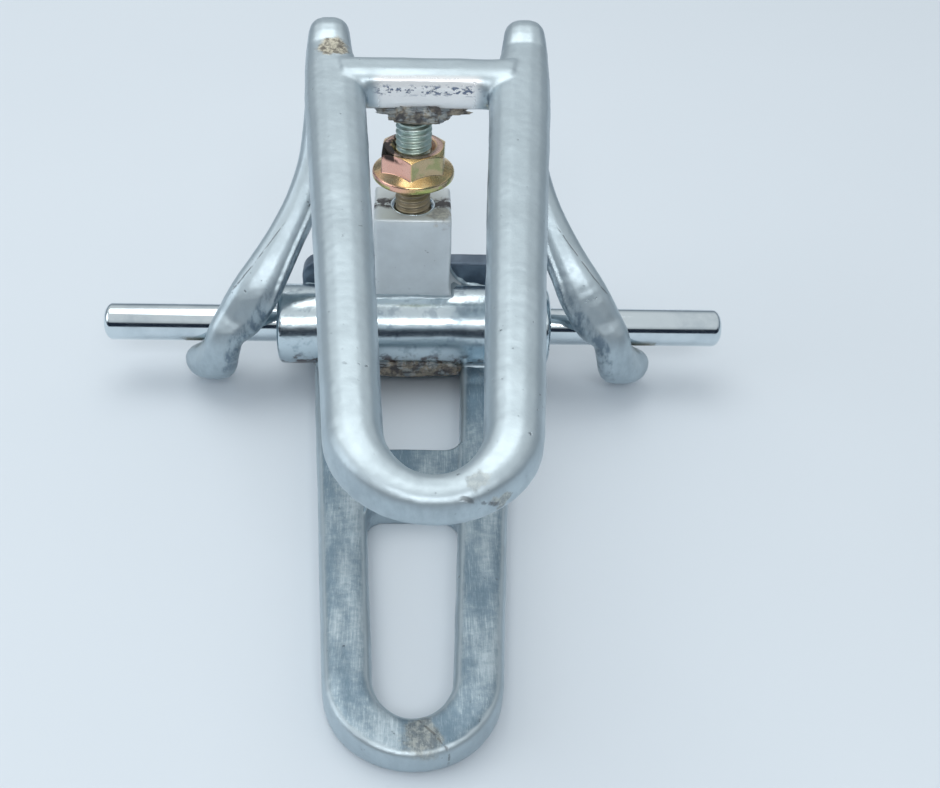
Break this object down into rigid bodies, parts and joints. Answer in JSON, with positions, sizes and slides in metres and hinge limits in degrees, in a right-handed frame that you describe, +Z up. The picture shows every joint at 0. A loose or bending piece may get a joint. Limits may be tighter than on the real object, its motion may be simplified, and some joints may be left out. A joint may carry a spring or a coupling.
{
  "type": "dental articulator",
  "caption": "Small hinged dental articulator with slim upper and lower cast rings, hooked arms on a long cross rod, and a screw stop with a flange lock nut.",
  "frame": {"origin": "middle of the footprint, on the table", "axes": "+X along the hinge rod to the right, +Y to the back where the hinge is, +Z up"},
  "size_m": [0.1, 0.0984, 0.0552],
  "materials": {
    "plated_casting": "satin plated casting",
    "rod": "bright plated",
    "dark_plate": "dark plated, satin",
    "stud": "clear zinc plated thread",
    "nut": "yellow passivated zinc plating"
  },
  "bodies": {
    "lower_frame": {"lower_ring": "plated_casting", "lower_crossbar": "plated_casting", "hinge_barrel": "plated_casting", "back_plate": "dark_plate", "stop_post": "plated_casting", "hinge_rod": "rod"},
    "upper_frame": {"upper_ring": "plated_casting", "upper_crossbar": "plated_casting", "stop_boss": "plated_casting", "left_arm": "plated_casting", "right_arm": "plated_casting"},
    "screw": {"stop_screw": "stud"},
    "nut": {"lock_nut": "nut"}
  },
  "joints": [
    {"name": "upper_hinge", "type": "hinge", "parent": "lower_frame", "child": "upper_frame", "pos_m": [0, 0.028, 0.0105], "axis": [-1, 0, 0], "range_deg": [0, 70]},
    {"name": "screw_travel", "type": "slide", "parent": "lower_frame", "child": "screw", "axis": [0, 0, 1], "range_m": [-0.004, 0]},
    {"name": "nut_travel", "type": "slide", "parent": "lower_frame", "child": "nut", "axis": [0, 0, 1], "range_m": [-0.0049, 0.0015]}
  ]
}
